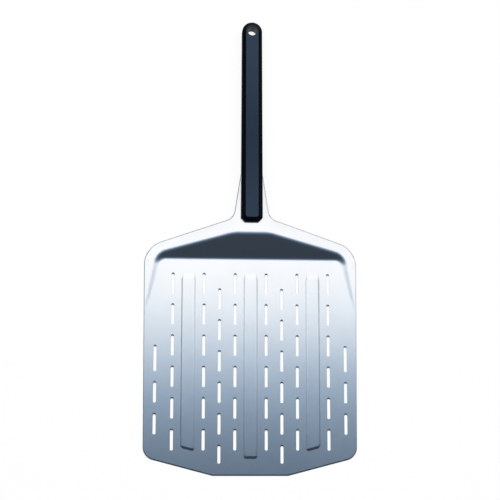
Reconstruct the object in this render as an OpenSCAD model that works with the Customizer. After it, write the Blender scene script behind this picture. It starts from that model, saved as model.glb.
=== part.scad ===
/* [Blade] */
// Width of the blade across the back corners
blade_w = 307; // [285:1:330]
// How far each side draws in from the back corner to the front corner
side_draw = 2; // [0:0.5:5]
// Length of the flat floor, from the front edge to the foot of the back wall
floor_len = 310; // [285:1:335]
// Thickness of the sheet
sheet = 2; // [1.5:0.1:2.5]
// Length of the straight front edge
front_flat = 107; // [80:1:130]
// Angle of the two raked front edges
front_rake = 14.6; // [8:0.2:18]
// Radius of the two front corners
front_corner_r = 18; // [8:1:26]
// Radius between the straight front edge and the raked ones
front_bend_r = 12; // [4:1:20]
// Width of the ground bevel along the front edges
bevel_w = 2; // [1:0.2:4]
// Thickness left at the very front edge
edge_t = 0.8; // [0.5:0.1:1.2]

/* [Back wall and rim] */
// Slope of the wall that bounds the floor
wall_angle = 31; // [24:1:34]
// Inside radius of the bend at the foot of the wall
foot_bend_r = 6; // [3:0.5:9]
// Radius of the bend along the crest of the back wall
crest_bend_r = 8; // [3.5:0.5:8]
// Height of the neck above the floor
neck_rise = 19; // [15:0.5:22]
// Half width of the level crest in front of the neck
crest_half_w = 26; // [22:1:32]
// Height of the crest above the floor near the back corners
corner_rise = 4.5; // [4.5:0.5:7]
// Distance of that point from the blade's side
corner_inset = 27; // [22:1:34]
// Width of a side wing at the foot of the back wall
wing_w = 21; // [12:0.5:22]
// Length of a side wing, along which it runs out to nothing
wing_len = 120; // [90:1:150]
// Radius of the floor's back corners
floor_corner_r = 13; // [8:1:20]
// Distance from the foot of the wall back to the shoulder, measured at the blade's side
shoulder_back = 14.5; // [11:0.5:22]
// Angle at which the shoulders rise to the neck
shoulder_angle = 17.8; // [14:0.5:21]
// Radius of the blade's back corners
back_corner_r = 33; // [24:1:44]
// Radius between shoulder and neck
neck_fillet_r = 15; // [6:1:16]

/* [Slots] */
// Width of a slot
slot_w = 4.2; // [3:0.1:5.5]
// Length of a slot
slot_len = 32; // [24:1:36]
// Distance between slot columns
column_pitch = 22.3; // [19:0.1:23.5]
// Distance between the slots of a column
row_pitch = 44.4; // [40:0.2:50]
// Distance from the front edge to the first slots of the odd columns
row_start = 35; // [28:1:42]
// Floor kept free in front of the back wall
row_end = 18; // [14:1:24]
// How much the very first slots are shortened at the front edge
front_trim = 4; // [0:0.5:8]
// Distance from the blade's side to the outermost column
outer_inset = 17.5; // [14:0.5:20]
// How much the rearmost slot of the outermost column is longer than the others
outer_extra = 7; // [0:1:12]

/* [Ribs] */
// Width of a stiffening rib
rib_w = 20; // [14:0.5:24]
// Height of a rib
rib_h = 1.4; // [0.8:0.1:2]
// Slope of the sides and front end of a rib
rib_side_angle = 40; // [30:1:55]
// Slope of the run-out at the back end of a rib
rib_tail_angle = 4; // [4:1:20]
// Distance from the front edge to the ribs, measured square to the edge
rib_setback = 27; // [22:1:34]
// How much nearer the middle rib comes to the front edge, in mm
rib_middle_ahead = 3.3; // [0:0.1:5]
// Distance from the foot of the wall to the back end of the ribs
rib_tail_gap = 19; // [16:1:34]

/* [Handle] */
// Bare neck between the crest of the wall and the handle
neck_show = 17.4; // [8:0.5:24]
// Length of the handle
handle_len = 297.3; // [260:1:330]
// Width of the handle at its front end
handle_w = 31.2; // [28:0.2:34]
// Width of the handle at its hanging end
handle_end_w = 29.2; // [26:0.2:32]
// Thickness of the handle
handle_t = 23; // [21:0.5:26]
// Width of the flat face at the front end
face_w = 18.8; // [16:0.2:21]
// Width of the flat face at the hanging end
face_end_w = 18.4; // [16:0.2:20]
// Slope of the long chamfers
chamfer_angle = 39; // [38:1:52]
// Cut across the two corners of the front end
corner_cut = 5.8; // [3:0.2:8]
// Diameter of the hanging hole
hang_hole_d = 13.2; // [10:0.2:15]
// Width of the hollow core in the grip
core_w = 15; // [10:0.5:17]
// Wall left above and below the core
core_wall = 3; // [2:0.2:4]

/* [Tang and fasteners] */
// Distance from the handle's front end to where the neck passes inside it
neck_exit = 74; // [60:1:84]
// How much further the open slots in the handle's sides run, so that no thin edge is left there
side_slot_extra = 8; // [6:0.5:14]
// Angle of the neck's flanks
flank_angle = 9; // [6:0.1:10]
// Width of the straight tang
tang_w = 19; // [16:0.5:22]
// Length of neck and tang inside the handle
tang_len = 128; // [115:1:150]
// Radius of the two corners at the tang's end
tang_end_r = 5; // [2:0.5:7]
// Gap around the tang in its pocket
tang_clearance = 0.2; // [0.1:0.05:0.4]
// Distance from the handle's front end to the neck screw
neck_screw_inset = 24; // [16:1:34]
// Distance from the tang's end to the tang screw
tang_screw_inset = 13; // [10:1:18]
// Distance from the hanging hole's centre to the end screw
end_screw_inset = 30; // [24:1:40]
// Diameter of the screw shanks
screw_d = 4; // [3:0.5:5]
// Reach of a screw shank above its head
screw_len = 13; // [11:0.5:15]
// Diameter of the screw heads
head_d = 7.6; // [6:0.2:8.4]
// Height of the screw heads
head_h = 2.4; // [1.8:0.1:3]
// Diameter of the flat on top of a screw head
head_flat_d = 3.8; // [3.4:0.1:5]
// Height of the straight rim of a screw head
head_rim = 0.8; // [0.4:0.1:1.2]
// Hexagon in the screw heads, across its corners
hex_d = 2.9; // [2:0.1:3.2]
// Depth of that hexagon
hex_depth = 1.2; // [0.8:0.1:1.6]
// Depth of the counterbores
counterbore_depth = 4.5; // [3.5:0.1:6]
// Gap around the screw heads
head_clearance = 0.5; // [0.3:0.1:0.8]
// Gap around the screw shanks
shank_clearance = 0.25; // [0.15:0.05:0.5]
// Outer diameter of the brass inserts
insert_d = 6; // [5.6:0.1:6.6]
// Length of the brass inserts
insert_len = 7; // [6:0.5:7.5]
// Gap between screw and insert
thread_clearance = 0.05; // [0.02:0.01:0.1]
// Wall of the bosses around the inserts
boss_wall = 2; // [1.5:0.1:2.5]

/* [Hidden] */
$fn = 64;

// Reach of the blocks that cut along a plane, and the overlap of plain cuts
reach = 900;
over = 1;
// How far the handle's round end stands proud of the bar that runs into it
end_swell = 0.02;
// Steps along an outline's round corner, along a bend of the sheet and around the floor's back corners
corner_steps = 14;
bend_steps = 4;
wall_turns = 7;
// Columns of the slot grid, counted from the middle, and the rows of the outermost column
rib_columns = [-4, 0, 4];
rear_columns = [1, 3, 5];
front_column = 2;
outer_rows = [1, 2, 3];

// Stations along Y, with the origin halfway between front edge and hanging end
crest_run = neck_rise / tan(wall_angle);
overall_len = floor_len + crest_run + neck_show + handle_len;
front_y = -overall_len / 2;
foot_y = front_y + floor_len;
crest_y = foot_y + crest_run;
handle_y = crest_y + neck_show;
hang_r = handle_end_w / 2;
hang_y = overall_len / 2 - hang_r - end_swell;
tang_end_y = handle_y + tang_len;
screw_ys = let (tang = tang_end_y - tang_screw_inset, end = hang_y - end_screw_inset)
    [handle_y + neck_screw_inset, tang, (tang + end) / 2, end];

// Levels along Z, with the underside of the floor at zero
neck_z = sheet + neck_rise;
handle_mid_z = neck_z - sheet / 2;
handle_top_z = handle_mid_z + handle_t / 2;
handle_low_z = handle_mid_z - handle_t / 2;
seat_z = handle_low_z + counterbore_depth;

// Half widths of blade and handle
side_x = blade_w / 2;
side_lean = atan(side_draw / (floor_len + shoulder_back));
function blade_half(y) = side_x - tan(side_lean) * (foot_y + shoulder_back - y);
handle_taper = (handle_end_w - handle_w) / 2 / (hang_y - handle_y);
function handle_half(y) = handle_w / 2 + handle_taper * (y - handle_y);
exit_y = handle_y + neck_exit;
function flank_half(y) = handle_half(exit_y) + tan(flank_angle) * (exit_y - y);

function unit(v) = v / norm(v);

// The normal of a plane that falls to the front by an angle, turned about the vertical
function tilted(turn, angle) = [sin(turn) * sin(angle), -cos(turn) * sin(angle), cos(angle)];

// Where the line from p along u meets the line from q along v
function meet(p, u, q, v) = p + u * cross(q - p, v) / cross(u, v);

// The arc of radius r that rounds corner b between a and c
function rounded(a, b, c, r) =
    let (
        u = unit(a - b),
        v = unit(c - b),
        half = acos(u * v) / 2,
        centre = b + unit(u + v) * r / sin(half),
        first = b + u * r / tan(half) - centre,
        start = atan2(first.y, first.x),
        turn = sign(cross(b - a, c - b)) * (180 - 2 * half)
    )
    [for (i = [0:corner_steps])
        let (a = start + turn * i / corner_steps) centre + r * [cos(a), sin(a)]];

// A right-hand outline of corners, each [point, radius], closed by its mirror image
function mirrored_outline(corners, first, last) =
    let (
        right = [for (i = [0:len(corners) - 1])
            let (
                a = i == 0 ? first : corners[i - 1][0],
                c = i == len(corners) - 1 ? last : corners[i + 1][0]
            )
            each rounded(a, corners[i][0], c, corners[i][1])],
        count = len(right)
    )
    concat(right, [for (i = [0:count - 1]) let (p = right[count - 1 - i]) [-p.x, p.y]]);

// Corners of the blade's right-hand outline
rake = [cos(front_rake), sin(front_rake)];
side_dir = [sin(side_lean), cos(side_lean)];
back_corner = [side_x, foot_y + shoulder_back];
shoulder_dir = [-cos(shoulder_angle), sin(shoulder_angle)];
flank_dir = [-sin(flank_angle), cos(flank_angle)];
front_bend = [front_flat / 2, front_y];
front_corner = meet(front_bend, rake, back_corner, side_dir);
neck_corner = meet(back_corner, shoulder_dir, [flank_half(exit_y), exit_y], flank_dir);
tang_start = meet([flank_half(exit_y), exit_y], flank_dir, [tang_w / 2, 0], [0, 1]);

// Corners of neck and tang, larger all round by the gap that a pocket leaves
function tang_corners(gap) = [
    [neck_corner + [gap, 0], neck_fillet_r],
    [tang_start + [gap, 0], neck_fillet_r],
    [[tang_w / 2 + gap, tang_end_y + gap], tang_end_r]
];
bed_corners = [[front_bend, front_bend_r], [front_corner, front_corner_r], [back_corner, back_corner_r]];
blade_outline = mirrored_outline(concat(bed_corners, tang_corners(0)), [0, front_y], [0, tang_end_y]);
tang_pocket = mirrored_outline(tang_corners(tang_clearance), back_corner, [0, tang_end_y + tang_clearance]);

// Plan of the side wings: the crease runs from the floor's back corner out past the blade's side
wing_tip = [blade_half(foot_y - wing_len), foot_y - wing_len, sheet];
crease_back = [side_x - wing_w, foot_y];
crease_front_x = wing_tip.x + foot_bend_r * tan(wall_angle / 2) + over;
crease_lean = atan((crease_front_x - crease_back.x) / wing_len);
floor_corner_x = crease_back.x - floor_corner_r * (1 - sin(crease_lean)) / cos(crease_lean);
floor_corner = [floor_corner_x, foot_y - floor_corner_r];

// Normals and points of the wall and rim planes on the right-hand side
wall_normal = tilted(0, wall_angle);
crest_corner = [crest_half_w, crest_y, neck_z];
rim_corner = [side_x - corner_inset, foot_y + corner_rise / tan(wall_angle), sheet + corner_rise];
rim_normal = unit(cross(crest_corner - rim_corner, wing_tip - rim_corner));

// Everything on the far side of the plane through a point, away from the normal's tail
module beyond(point, normal) {
    n = unit(normal);
    translate(point)
        rotate([0, acos(n.z), atan2(n.y, n.x)])
            translate([-reach / 2, -reach / 2, 0])
                cube([reach, reach, reach / 2]);
}

// Eases the crest between two planes through a point, for the surface a depth below the top
module crest_bend(point, normal_a, normal_b, depth) {
    axis = point - crest_bend_r * (normal_a + normal_b) / (1 + normal_a * normal_b);
    for (i = [1:bend_steps - 1]) {
        n = unit(normal_a + (normal_b - normal_a) * i / bend_steps);
        beyond(axis + (crest_bend_r - depth) * n, n);
    }
}

// Outline of the space inside a wall, seen along the wall from the centre of the floor's back corner
function wall_profile(depth) =
    let (
        inner = -reach / 2,
        r = foot_bend_r + depth,
        bend_out = floor_corner_r - foot_bend_r * tan(wall_angle / 2),
        bend_up = sheet + foot_bend_r,
        bend = [for (i = [0:bend_steps])
            let (a = wall_angle * i / bend_steps) [bend_out + r * sin(a), bend_up - r * cos(a)]],
        top = bend[bend_steps] + 2 * crest_run * [cos(wall_angle), sin(wall_angle)]
    )
    concat([[inner, bend[0].y]], bend, [top, [inner, top.y]]);

// The space inside one wall: 0 is the back wall, the last ones bound the wings, the rest turn the corners
module inside_wall(i, depth) {
    translate([sign(i) * floor_corner.x, floor_corner.y])
        rotate([0, 0, 90 - (90 - crease_lean) * i / wall_turns])
            rotate([90, 0, 0])
                linear_extrude(reach, center = true)
                    polygon(wall_profile(depth));
}

// One stiffening rib at x, its front end parallel to the edge that it faces
module rib(x, depth) {
    rake_here = x == 0 ? 0 : sign(x) * front_rake;
    edge_y = front_y + max(0, abs(x) - front_flat / 2) * tan(front_rake);
    setback = x == 0 ? rib_setback - rib_middle_ahead : rib_setback;
    front_point = [x, edge_y + setback / cos(rake_here), sheet];
    tail_point = [x, foot_y - rib_tail_gap, sheet];
    front_normal = tilted(rake_here, rib_side_angle);
    tail_normal = [0, sin(rib_tail_angle), cos(rib_tail_angle)];
    foot_half = rib_w / 2 - depth * tan(rib_side_angle / 2);
    top_half = foot_half - rib_h / tan(rib_side_angle);
    low = sheet - depth;
    difference() {
        translate([x, foot_y, 0])
            rotate([90, 0, 0])
                linear_extrude(floor_len)
                    polygon([
                        [-foot_half, low - over], [foot_half, low - over], [foot_half, low],
                        [top_half, low + rib_h], [-top_half, low + rib_h], [-foot_half, low]
                    ]);
        beyond(front_point - depth * front_normal, front_normal);
        beyond(tail_point - depth * tail_normal, tail_normal);
    }
}

// What the rim planes on both sides cut away
module above_rims(depth) {
    for (side = [0, 1])
        mirror([side, 0, 0])
            beyond(crest_corner - depth * rim_normal, rim_normal);
}

// What the bends along the crest cut away
module above_crests(depth) {
    crest_bend(crest_corner, wall_normal, [0, 0, 1], depth);
    for (side = [0, 1])
        mirror([side, 0, 0])
            crest_bend(crest_corner, wall_normal, rim_normal, depth);
}

// Everything behind a station and above a level
module behind(y, z) {
    translate([-reach / 2, y, z])
        cube([reach, reach, neck_z]);
}

// Everything below the sheet's top surface, or below its underside when depth is the thickness
module below_surface(depth) {
    low = sheet - depth;
    back_half = floor_corner.x + floor_corner_r / 2;
    back_y = foot_y - foot_bend_r;
    difference() {
        translate([-side_x - over, front_y - over, -over])
            cube([blade_w + 2 * over, overall_len, neck_z - depth + over]);
        intersection_for(i = [each [-wall_turns:-1], each [1:wall_turns]])
            inside_wall(i, depth);
        intersection() {
            above_rims(depth);
            behind(wing_tip.y + 2 * over, low);
        }
    }
    difference() {
        translate([-back_half, back_y, -over])
            cube([2 * back_half, overall_len / 2, neck_z - depth + over]);
        inside_wall(0, depth);
        above_rims(depth);
        intersection() {
            above_crests(depth);
            behind(back_y, low + over);
        }
    }
    for (column = rib_columns)
        rib(column * column_pitch, depth);
}

// One slot, from its front end backwards
module slot(x, y, length) {
    r = slot_w / 2;
    translate([x, y, -over])
        linear_extrude(neck_z) {
            translate([0, r])
                circle(r);
            translate([0, length - r])
                circle(r);
            translate([-r, r])
                square([slot_w, length - slot_w]);
        }
}

// The slot columns: three of them in step, one half a pitch forward, the outermost one shorter
module slots() {
    rear_y = front_y + row_start;
    front_row_y = rear_y - row_pitch / 2;
    last_row = floor((floor_len - row_end - row_start - slot_len) / row_pitch);
    for (side = [-1, 1]) {
        for (column = rear_columns, row = [0:last_row])
            slot(side * column * column_pitch, rear_y + row * row_pitch, slot_len);
        for (row = [0:last_row]) {
            trim = row == 0 ? front_trim : 0;
            slot(side * front_column * column_pitch, front_row_y + row * row_pitch + trim, slot_len - trim);
        }
        for (row = outer_rows) {
            extra = row == max(outer_rows) ? outer_extra : 0;
            slot(side * (side_x - outer_inset), front_row_y + row * row_pitch, slot_len + extra);
        }
    }
}

// The ground bevel along the three front edges
module front_bevels() {
    drop = [bevel_w, sheet - edge_t];
    tilt = atan(drop.y / drop.x);
    for (turn = [-front_rake, 0, front_rake]) {
        x = sign(turn) * front_flat / 2;
        beyond([x, front_y, edge_t], tilted(turn, tilt));
    }
}

module blade() {
    color([0.80, 0.83, 0.87])
        difference() {
            intersection() {
                translate([0, 0, -over / 2])
                    linear_extrude(neck_z + over)
                        polygon(blade_outline);
                difference() {
                    below_surface(0);
                    below_surface(sheet);
                }
            }
            slots();
            intersection() {
                front_bevels();
                translate([-side_x, front_y, 0])
                    cube([blade_w, floor_len / 2, neck_z]);
            }
            for (y = [screw_ys[0], screw_ys[1]])
                translate([0, y, 0])
                    cylinder(d = screw_d + 2 * shank_clearance, h = neck_z + over);
        }
}

// The chamfers around the handle's upper face
module upper_chamfers() {
    end_drop = (handle_end_w - face_end_w) / 2 * tan(chamfer_angle);
    face_front = [face_w / 2, handle_y, handle_top_z];
    face_back = [face_end_w / 2, hang_y, handle_top_z];
    side_back = [hang_r, hang_y, handle_top_z - end_drop];
    long_normal = unit(cross(side_back - face_back, face_back - face_front));
    front_drop = (handle_w - face_w) / 2 * tan(chamfer_angle);
    front_edge = [0, handle_y, handle_top_z - front_drop];
    corner_edge = [handle_half(handle_y) - corner_cut, handle_y, handle_top_z - front_drop];
    beyond(front_edge, tilted(0, chamfer_angle));
    for (side = [0, 1])
        mirror([side, 0, 0]) {
            beyond(face_back, long_normal);
            beyond(corner_edge, tilted(45, chamfer_angle));
        }
}

// The whole outside of the handle, before it is parted: a tapered bar with a round end
module handle_body() {
    front_half = handle_half(handle_y) - corner_cut;
    cut_half = handle_half(handle_y + corner_cut);
    cut_y = handle_y + corner_cut;
    end_drop = (handle_end_w - face_end_w) / 2 * tan(chamfer_angle);
    face_r = face_end_w / 2 + end_swell;
    end_r = hang_r + end_swell;
    difference() {
        translate([0, 0, handle_low_z])
            linear_extrude(handle_t)
                polygon([
                    [front_half, handle_y], [cut_half, cut_y], [hang_r, hang_y],
                    [-hang_r, hang_y], [-cut_half, cut_y], [-front_half, handle_y]
                ]);
        upper_chamfers();
        translate([0, 0, 2 * handle_mid_z])
            mirror([0, 0, 1])
                upper_chamfers();
    }
    translate([0, hang_y, 0])
        rotate_extrude()
            polygon([
                [0, handle_low_z], [face_r, handle_low_z],
                [end_r, handle_low_z + end_drop], [end_r, handle_top_z - end_drop],
                [face_r, handle_top_z], [0, handle_top_z]
            ]);
}

// The hollow behind the tang, with the bosses of the two rear screws left standing
module grip_core() {
    r = core_w / 2;
    boss_r = insert_d / 2 + boss_wall;
    start_y = tang_end_y + core_wall;
    end_y = screw_ys[3];
    difference() {
        translate([-r, start_y, handle_low_z + core_wall])
            cube([core_w, end_y - start_y, handle_t - 2 * core_wall]);
        for (y = [screw_ys[2], screw_ys[3]])
            translate([0, y, handle_low_z])
                cylinder(r = boss_r, h = handle_t);
    }
}

module hang_hole() {
    translate([0, hang_y, handle_low_z - over])
        cylinder(d = hang_hole_d, h = handle_t + 2 * over);
}

module handle_upper_shell() {
    color([0.17, 0.21, 0.27])
        difference() {
            handle_body();
            translate([-handle_w, handle_y - over, handle_low_z - over])
                cube([2 * handle_w, handle_len + 2 * over, neck_z - handle_low_z + over]);
            grip_core();
            hang_hole();
            for (y = screw_ys)
                translate([0, y, neck_z - over])
                    cylinder(d = insert_d, h = insert_len + over);
        }
}

module handle_lower_shell() {
    color([0.14, 0.17, 0.22])
        difference() {
            handle_body();
            translate([-handle_w, handle_y - over, neck_z])
                cube([2 * handle_w, handle_len + 2 * over, handle_t]);
            translate([0, 0, neck_z - sheet])
                linear_extrude(sheet + over)
                    polygon(tang_pocket);
            translate([-handle_w, handle_y - over, neck_z - sheet])
                cube([2 * handle_w, neck_exit + side_slot_extra + over, sheet + over]);
            grip_core();
            hang_hole();
            for (y = screw_ys)
                translate([0, y, handle_low_z - over]) {
                    cylinder(d = head_d + 2 * head_clearance, h = counterbore_depth + over);
                    cylinder(d = screw_d + 2 * shank_clearance, h = handle_t);
                }
        }
}

// A button-head screw, its head against the seat of the counterbore
module screw(y) {
    color([0.72, 0.73, 0.75])
        translate([0, y, seat_z])
            difference() {
                rotate_extrude()
                    polygon([
                        [0, -head_h], [head_flat_d / 2, -head_h], [head_d / 2, -head_rim], [head_d / 2, 0],
                        [screw_d / 2, 0], [screw_d / 2, screw_len], [0, screw_len]
                    ]);
                translate([0, 0, -head_h - over])
                    cylinder(d = hex_d, h = hex_depth + over, $fn = 6);
            }
}

// A threaded insert, flush with the face where the shells part
module insert(y) {
    color([0.78, 0.62, 0.32])
        translate([0, y, neck_z])
            difference() {
                cylinder(d = insert_d, h = insert_len);
                translate([0, 0, -over])
                    cylinder(d = screw_d + 2 * thread_clearance, h = insert_len + 2 * over);
            }
}

module neck_screw() { screw(screw_ys[0]); }
module tang_screw() { screw(screw_ys[1]); }
module grip_screw() { screw(screw_ys[2]); }
module end_screw() { screw(screw_ys[3]); }
module neck_insert() { insert(screw_ys[0]); }
module tang_insert() { insert(screw_ys[1]); }
module grip_insert() { insert(screw_ys[2]); }
module end_insert() { insert(screw_ys[3]); }

blade();
handle_upper_shell();
handle_lower_shell();
neck_screw();
tang_screw();
grip_screw();
end_screw();
neck_insert();
tang_insert();
grip_insert();
end_insert();
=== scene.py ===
import math
import bpy
import bmesh
from mathutils import Matrix, Vector


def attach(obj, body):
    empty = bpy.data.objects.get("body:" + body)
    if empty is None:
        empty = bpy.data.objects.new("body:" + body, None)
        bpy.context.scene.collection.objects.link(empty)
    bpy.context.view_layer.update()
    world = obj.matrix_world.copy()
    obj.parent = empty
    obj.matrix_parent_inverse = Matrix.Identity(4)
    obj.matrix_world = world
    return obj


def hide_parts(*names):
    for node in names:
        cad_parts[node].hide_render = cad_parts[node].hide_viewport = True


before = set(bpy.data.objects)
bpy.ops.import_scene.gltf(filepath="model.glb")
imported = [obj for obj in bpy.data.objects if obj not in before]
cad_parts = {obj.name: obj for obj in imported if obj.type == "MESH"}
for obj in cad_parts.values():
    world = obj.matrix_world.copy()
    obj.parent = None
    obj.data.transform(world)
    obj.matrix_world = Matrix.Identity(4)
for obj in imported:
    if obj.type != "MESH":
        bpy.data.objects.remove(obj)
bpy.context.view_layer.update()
mm = 0.001
fullTurn = 2 * math.pi
scene = bpy.context.scene
scene.view_settings.view_transform = "Standard"
print("frame loaded:", len(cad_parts), "nodes")


# camera: nearly overhead, a little from the front edge and from the left
view = {
    "target": (-0.92, -6.16, 0.0),
    "distance": 1828.0,
    "pitch": 9.2,
    "yaw": -4.0,
    "roll": 0.07,
    "lens": 90.94,
    "sensor": 36.0,
}


def makeCamera():
    pitch, yaw, roll = (math.radians(view[k]) for k in ("pitch", "yaw", "roll"))
    back = Vector((math.sin(yaw), -math.sin(pitch) * math.cos(yaw), math.cos(pitch) * math.cos(yaw)))
    right = Vector((0, 1, 0)).cross(back).normalized()
    turn = Matrix((right, back.cross(right), back)).transposed()
    turn = Matrix.Rotation(roll, 3, back) @ turn
    data = bpy.data.cameras.new("photoCamera")
    data.lens = view["lens"]
    data.sensor_width = view["sensor"]
    data.dof.use_dof = False
    camera = bpy.data.objects.new("photoCamera", data)
    place = (Vector(view["target"]) + back * view["distance"]) * mm
    camera.matrix_world = Matrix.Translation(place) @ turn.to_4x4()
    scene.collection.objects.link(camera)
    scene.camera = camera


makeCamera()
print("camera set")


# node helpers
def addNode(tree, kind, **values):
    node = tree.nodes.new(kind)
    for key, value in values.items():
        setattr(node, key, value)
    return node


def setInputs(node, **values):
    for key, value in values.items():
        node.inputs[key].default_value = value
    return node


def newGroup(name, inputs, outputs):
    group = bpy.data.node_groups.new(name, "ShaderNodeTree")
    for socket, kind, value in inputs:
        made = group.interface.new_socket(socket, in_out="INPUT", socket_type="NodeSocket" + kind)
        if value is not None:
            made.default_value = value
    for socket, kind in outputs:
        group.interface.new_socket(socket, in_out="OUTPUT", socket_type="NodeSocket" + kind)
    return group, group.nodes.new("NodeGroupInput"), group.nodes.new("NodeGroupOutput")


def mathNode(tree, operation, first, second, clamp=False):
    node = addNode(tree, "ShaderNodeMath", operation=operation, use_clamp=clamp)
    for slot, value in zip(node.inputs, (first, second)):
        if isinstance(value, (int, float)):
            slot.default_value = value
        else:
            tree.links.new(value, slot)
    return node.outputs[0]


def mapRange(tree, value, low, high, toLow=0.0, toHigh=1.0):
    node = addNode(tree, "ShaderNodeMapRange", interpolation_type="SMOOTHSTEP")
    tree.links.new(value, node.inputs["Value"])
    ends = {"From Min": low, "From Max": high, "To Min": toLow, "To Max": toHigh}
    for key, end in ends.items():
        if isinstance(end, (int, float)):
            node.inputs[key].default_value = end
        else:
            tree.links.new(end, node.inputs[key])
    return node.outputs["Result"]


def mixColour(tree, factor, first, second):
    node = addNode(tree, "ShaderNodeMix", data_type="RGBA")
    tree.links.new(factor, node.inputs[0])
    for slot, value in ((node.inputs[6], first), (node.inputs[7], second)):
        if isinstance(value, tuple):
            slot.default_value = value + (1.0,)
        else:
            tree.links.new(value, slot)
    return node.outputs[2]


# noise patterns that the materials share
patterns = {
    "fine": {"Detail": 3.0, "Roughness": 0.6},
    "broad": {"Scale": 14.0, "Detail": 4.0, "Roughness": 0.55},
    "patchy": {"Scale": 160.0, "Detail": 5.0, "Roughness": 0.65},
    "lines": {"Scale": 1.0, "Detail": 2.0, "Roughness": 0.5},
    "soft": {"Scale": 22.0, "Detail": 3.0, "Distortion": 0.8},
    "fineRange": (0.3, 0.7),
    "patchRange": (0.38, 0.66),
    "smudgeRange": (0.45, 0.7),
    "lineStretch": (420.0, 9.0, 9.0),
    "lineLevel": 0.82,
    "lineDensity": 0.2,
    "lineSoft": 0.06,
}


def addNoise(tree, name, vector):
    node = setInputs(addNode(tree, "ShaderNodeTexNoise"), **patterns[name])
    tree.links.new(vector, node.inputs["Vector"])
    return node


# fine grain: speckle that both changes the gloss a little and stands up as height
def makeGrainGroup():
    inputs = [("Vector", "Vector", None), ("Scale", "Float", 900.0), ("Stretch", "Vector", (1, 1, 1))]
    group, start, end = newGroup("fineGrain", inputs, [("Fine", "Float"), ("Broad", "Float")])
    spread = addNode(group, "ShaderNodeVectorMath", operation="MULTIPLY")
    group.links.new(start.outputs["Vector"], spread.inputs[0])
    group.links.new(start.outputs["Stretch"], spread.inputs[1])
    fine = addNoise(group, "fine", spread.outputs[0])
    group.links.new(start.outputs["Scale"], fine.inputs["Scale"])
    broad = addNoise(group, "broad", start.outputs["Vector"])
    group.links.new(fine.outputs["Fac"], end.inputs["Fine"])
    group.links.new(broad.outputs["Fac"], end.inputs["Broad"])
    return group


# rubbed edges: an edge mask broken up by noise
def makeWearGroup():
    inputs = [("Vector", "Vector", None), ("Edge", "Float", 0.0), ("Amount", "Float", 0.5)]
    group, start, end = newGroup("edgeWear", inputs, [("Mask", "Float")])
    patchy = addNoise(group, "patchy", start.outputs["Vector"])
    broken = mapRange(group, patchy.outputs["Fac"], *patterns["patchRange"])
    worn = mathNode(group, "MULTIPLY", broken, start.outputs["Edge"])
    worn = mathNode(group, "MULTIPLY", worn, start.outputs["Amount"], clamp=True)
    group.links.new(worn, end.inputs["Mask"])
    return group


# use marks: sparse hair scratches and soft smudges
def makeMarksGroup():
    inputs = [("Vector", "Vector", None), ("Angle", "Float", 0.3), ("Density", "Float", 0.5)]
    group, start, end = newGroup("useMarks", inputs, [("Scratch", "Float"), ("Smudge", "Float")])
    turned = addNode(group, "ShaderNodeVectorRotate", rotation_type="Z_AXIS")
    group.links.new(start.outputs["Vector"], turned.inputs["Vector"])
    group.links.new(start.outputs["Angle"], turned.inputs["Angle"])
    long = addNode(group, "ShaderNodeVectorMath", operation="MULTIPLY")
    long.inputs[1].default_value = patterns["lineStretch"]
    group.links.new(turned.outputs[0], long.inputs[0])
    lines = addNoise(group, "lines", long.outputs[0])
    dense = mathNode(group, "MULTIPLY", start.outputs["Density"], patterns["lineDensity"])
    edge = mathNode(group, "SUBTRACT", patterns["lineLevel"], dense)
    top = mathNode(group, "ADD", edge, patterns["lineSoft"])
    group.links.new(mapRange(group, lines.outputs["Fac"], edge, top), end.inputs["Scratch"])
    soft = addNoise(group, "soft", start.outputs["Vector"])
    smudge = mapRange(group, soft.outputs["Fac"], *patterns["smudgeRange"])
    group.links.new(smudge, end.inputs["Smudge"])
    return group


grainGroup, wearGroup, marksGroup = makeGrainGroup(), makeWearGroup(), makeMarksGroup()


def placeGroup(tree, group, vector, **values):
    node = addNode(tree, "ShaderNodeGroup", node_tree=group)
    tree.links.new(vector, node.inputs["Vector"])
    for key, value in values.items():
        if isinstance(value, (int, float, tuple)):
            node.inputs[key].default_value = value
        else:
            tree.links.new(value, node.inputs[key])
    return node.outputs


def startMaterial(name):
    material = bpy.data.materials.new(name)
    material.use_nodes = True
    tree = material.node_tree
    shader = tree.nodes["Principled BSDF"]
    vector = addNode(tree, "ShaderNodeTexCoord").outputs["Object"]
    return material, tree, shader, vector


def readMask(tree, name):
    return addNode(tree, "ShaderNodeAttribute", attribute_name=name).outputs["Fac"]


def addBump(tree, shader, height, strength, distance):
    bump = setInputs(addNode(tree, "ShaderNodeBump"), Strength=strength, Distance=distance)
    tree.links.new(height, bump.inputs["Height"])
    tree.links.new(bump.outputs["Normal"], shader.inputs["Normal"])


# roughness that follows the fine grain
def grainRough(tree, grain, ends):
    return mapRange(tree, grain["Fine"], *patterns["fineRange"], *ends)


# anodised aluminium: satin and faintly blue
aluminium = {
    "colour": (0.76, 0.84, 0.93),
    "cloudy": (0.71, 0.79, 0.885),
    "cloudRange": (0.35, 0.7),
    "cloudShare": 0.5,
    "edge": (0.62, 0.70, 0.79),
    "edgeWear": 0.8,
    "roughness": (0.165, 0.20),
    "smudgeRough": 0.008,
    "scratchRough": 0.05,
    "scratchAngle": 0.12,
    "scratchDensity": 0.55,
    "scratchDepth": 0.6,
    "grainScale": 1500.0,
    "grainStretch": (1.0, 0.35, 1.0),
    "bump": 0.04,
    "bumpDepth": 0.00002,
}


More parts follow.
